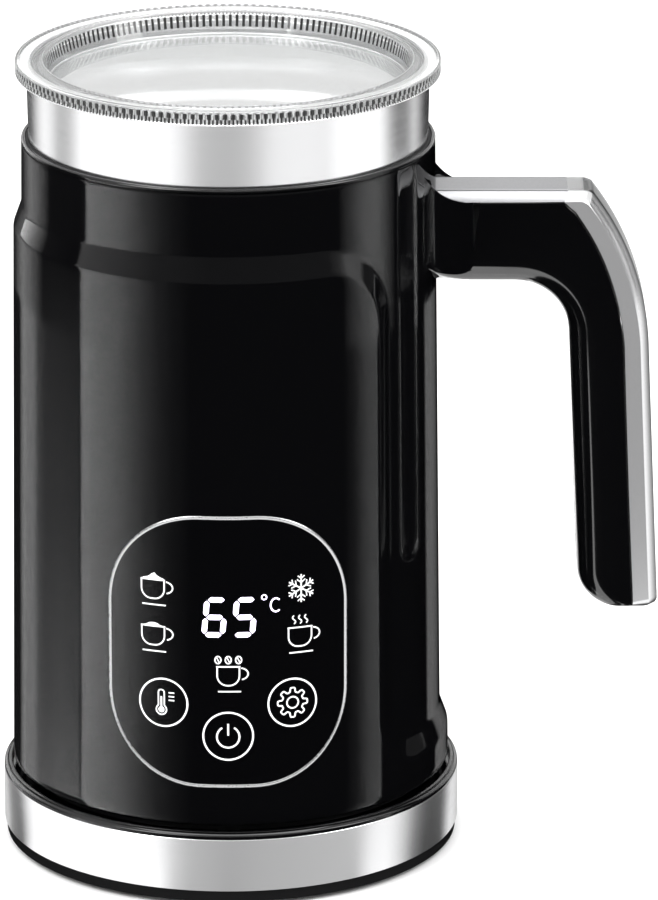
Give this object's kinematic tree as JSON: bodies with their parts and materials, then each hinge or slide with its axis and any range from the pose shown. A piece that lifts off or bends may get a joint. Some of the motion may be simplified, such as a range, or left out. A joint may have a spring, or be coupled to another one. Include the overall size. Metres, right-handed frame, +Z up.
{
  "type": "milk frother",
  "caption": "Cordless milk frother: handled jug with steel cup, magnetic whisk, touch panel and clear lid, on a round power base.",
  "frame": {"origin": "centre of the round base, on the plane its rubber feet stand on", "axes": "+Z up along the jug's axis, +X towards the handle, -Y towards the control panel"},
  "size_m": [0.1691, 0.122, 0.2073],
  "materials": {
    "board_parts": "component bodies",
    "brass": "bright contact metal",
    "brushed_steel": "fine brushed stainless steel",
    "cast_aluminium": "cast, plain",
    "chrome": "satin chrome plating",
    "circuit_board": "lacquered circuit board",
    "clear_plastic": "clear moulded plastic",
    "copper": "lacquered copper",
    "dark_plastic": "plain dark plastic",
    "feet_rubber": "matt rubber",
    "gloss_black": "high gloss black moulding",
    "handle_black": "gloss black moulding",
    "heater_steel": "dull oxidised tube",
    "light_guide": "white diffusing plastic",
    "magnet": "nickel plated magnet",
    "panel_gloss": "high gloss smoked sheet",
    "satin_black": "fine satin black moulding",
    "silicone_black": "soft matt silicone",
    "silicone_clear": "milky silicone",
    "technical_plastic": "plain technical plastic",
    "top_plate_silver": "satin silver paint",
    "trim_silver": "bright silver line",
    "wire_red": "silicone wire insulation",
    "zinc_screw": "zinc plated fastener"
  },
  "bodies": {
    "base": {"base_foot_plate": "satin_black", "base_steel_band": "brushed_steel", "base_top_cover": "gloss_black", "base_rubber_feet": "feet_rubber", "base_socket_housing": "dark_plastic", "base_contact_rings": "brass", "base_screws": "zinc_screw", "cord_gland": "silicone_black", "cord_clamp": "technical_plastic"},
    "swivel": {"base_centre_pin": "zinc_screw"},
    "jug": {"body_shell": "gloss_black", "jug_bottom_cover": "satin_black", "steel_cup": "brushed_steel", "cup_rim_gasket": "silicone_black", "cup_whisk_pin": "zinc_screw", "heater_plate": "cast_aluminium", "heater_tube": "heater_steel", "thermostat": "brass", "temperature_sensor": "zinc_screw", "motor_can": "zinc_screw", "motor_mount": "dark_plastic", "motor_mount_screws": "zinc_screw", "control_board": "circuit_board", "display_module": "board_parts", "display_light_guide": "light_guide", "touch_springs": "brass", "control_panel": "panel_gloss", "panel_trim_ring": "trim_silver", "power_board": "circuit_board", "power_board_parts": "board_parts", "ribbon_cable": "technical_plastic", "heater_leads": "wire_red", "jug_connector": "technical_plastic", "jug_contacts": "brass", "jug_screws": "zinc_screw", "handle_shell": "handle_black", "handle_chrome_spine": "chrome", "handle_top_plate": "top_plate_silver", "handle_bracket": "cast_aluminium", "handle_screws": "zinc_screw"},
    "rotor": {"motor_shaft": "zinc_screw", "motor_armature": "copper", "magnet_holder": "technical_plastic", "drive_magnets": "magnet"},
    "whisk": {"whisk_hub": "dark_plastic", "whisk_coil": "brushed_steel", "whisk_magnets": "magnet"},
    "lid": {"lid_cover": "clear_plastic", "lid_seal": "silicone_clear"}
  },
  "joints": [
    {"name": "jug_turn", "type": "hinge", "parent": "base", "child": "swivel", "pos_m": [0, 0, 0.02], "axis": [0, 0, 1], "continuous": true},
    {"name": "jug_lift", "type": "slide", "parent": "swivel", "child": "jug", "axis": [0, 0, 1], "range_m": [0, 0.06]},
    {"name": "motor_spin", "type": "hinge", "parent": "jug", "child": "rotor", "pos_m": [0, 0, 0.09], "axis": [0, 0, 1], "continuous": true},
    {"name": "whisk_spin", "type": "hinge", "parent": "jug", "child": "whisk", "pos_m": [0, 0, 0.12], "axis": [0, 0, 1], "continuous": true},
    {"name": "lid_lift", "type": "slide", "parent": "jug", "child": "lid", "axis": [0, 0, 1], "range_m": [0, 0.04]}
  ],
  "couplings": [
    {"joint": "whisk_spin", "follows": "motor_spin", "ratio": 1}
  ]
}
